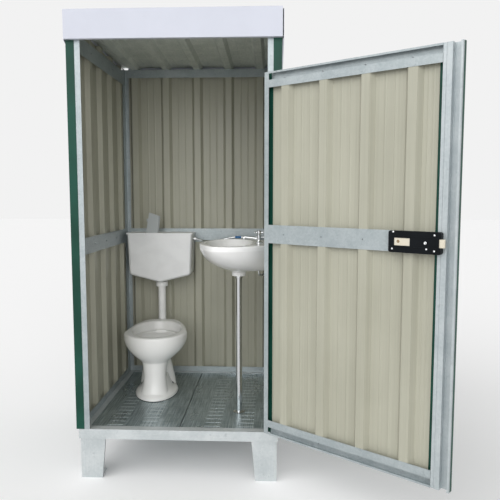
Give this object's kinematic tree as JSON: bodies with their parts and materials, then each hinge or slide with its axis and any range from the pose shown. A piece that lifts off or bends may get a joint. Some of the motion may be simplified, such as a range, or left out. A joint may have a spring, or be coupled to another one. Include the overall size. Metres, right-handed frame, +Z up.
{
  "type": "portable toilet cabin",
  "caption": "Upright portable toilet cabin on legs: ribbed metal walls, pent roof, outward door with slide latch, pan with high cistern, wall basin with tap.",
  "frame": {"origin": "centre of the four legs' bolt holes, on the ground", "axes": "+Z up, the doorway faces -Y, and +X is to the right as seen from the front"},
  "size_m": [1.6912, 1.6396, 2.2878],
  "materials": {
    "galvanised_steel": "satin",
    "floor_plate": "satin",
    "coated_sheet": "satin",
    "green_paint": "satin",
    "white_paint": "satin",
    "vitreous_china": "gloss",
    "cistern_plastic": "satin",
    "white_plastic": "satin",
    "grey_plate": "satin",
    "chrome": "polished",
    "black_plastic": "satin",
    "cream_plastic": "satin"
  },
  "bodies": {
    "cabin": {"base_front": "galvanised_steel", "base_rear": "galvanised_steel", "base_left": "galvanised_steel", "base_right": "galvanised_steel", "leg_front_left": "galvanised_steel", "leg_front_right": "galvanised_steel", "leg_rear_left": "galvanised_steel", "leg_rear_right": "galvanised_steel", "floor_plank_left": "floor_plate", "floor_plank_right": "floor_plate", "post_front_left": "galvanised_steel", "post_front_right": "galvanised_steel", "post_rear_left": "galvanised_steel", "post_rear_right": "galvanised_steel", "mid_rail_left": "galvanised_steel", "mid_rail_right": "galvanised_steel", "mid_rail_back": "galvanised_steel", "foot_rail_left": "galvanised_steel", "foot_rail_right": "galvanised_steel", "foot_rail_back": "galvanised_steel", "top_rail_left": "galvanised_steel", "top_rail_right": "galvanised_steel", "top_rail_back": "galvanised_steel", "top_rail_front": "galvanised_steel", "left_wall_sheet": "coated_sheet", "right_wall_sheet": "coated_sheet", "back_wall_sheet": "coated_sheet", "front_trim_left": "green_paint", "front_trim_right": "green_paint", "rear_trim_left": "green_paint", "rear_trim_right": "green_paint", "roof_sheet": "galvanised_steel", "roof_trim_left": "green_paint", "roof_trim_right": "green_paint", "roof_trim_rear": "green_paint", "front_fascia": "white_paint", "toilet_pan": "vitreous_china", "flush_pipe": "white_plastic", "cistern_tank": "cistern_plastic", "cistern_cover": "cistern_plastic", "folded_plate": "grey_plate", "supply_pipe": "chrome", "basin": "vitreous_china", "waste_pipe": "chrome", "tap_body": "chrome", "post_hinges": "galvanised_steel"},
    "door": {"door_hinges": "galvanised_steel", "door_hinge_stile": "galvanised_steel", "door_lock_stile": "galvanised_steel", "door_top_rail": "galvanised_steel", "door_bottom_rail": "galvanised_steel", "door_mid_rail": "galvanised_steel", "door_sheet": "coated_sheet", "door_trim_hinge": "green_paint", "door_trim_lock": "green_paint", "latch_case": "black_plastic"},
    "latch_bolt": {"latch_bolt": "cream_plastic"},
    "tap_handle": {"tap_handle": "chrome"}
  },
  "joints": [
    {"name": "door_swing", "type": "hinge", "parent": "cabin", "child": "door", "pos_m": [0.447, -0.538, 0], "axis": [0, 0, 1], "range_deg": [-143.08, 36.92]},
    {"name": "bolt_slide", "type": "slide", "parent": "door", "child": "latch_bolt", "axis": [0.7995, -0.6007, 0], "range_m": [0, 0.05]},
    {"name": "tap_turn", "type": "hinge", "parent": "cabin", "child": "tap_handle", "pos_m": [0.3955, -0.215, 1.23], "axis": [0, 0, 1], "range_deg": [0, 180]}
  ]
}
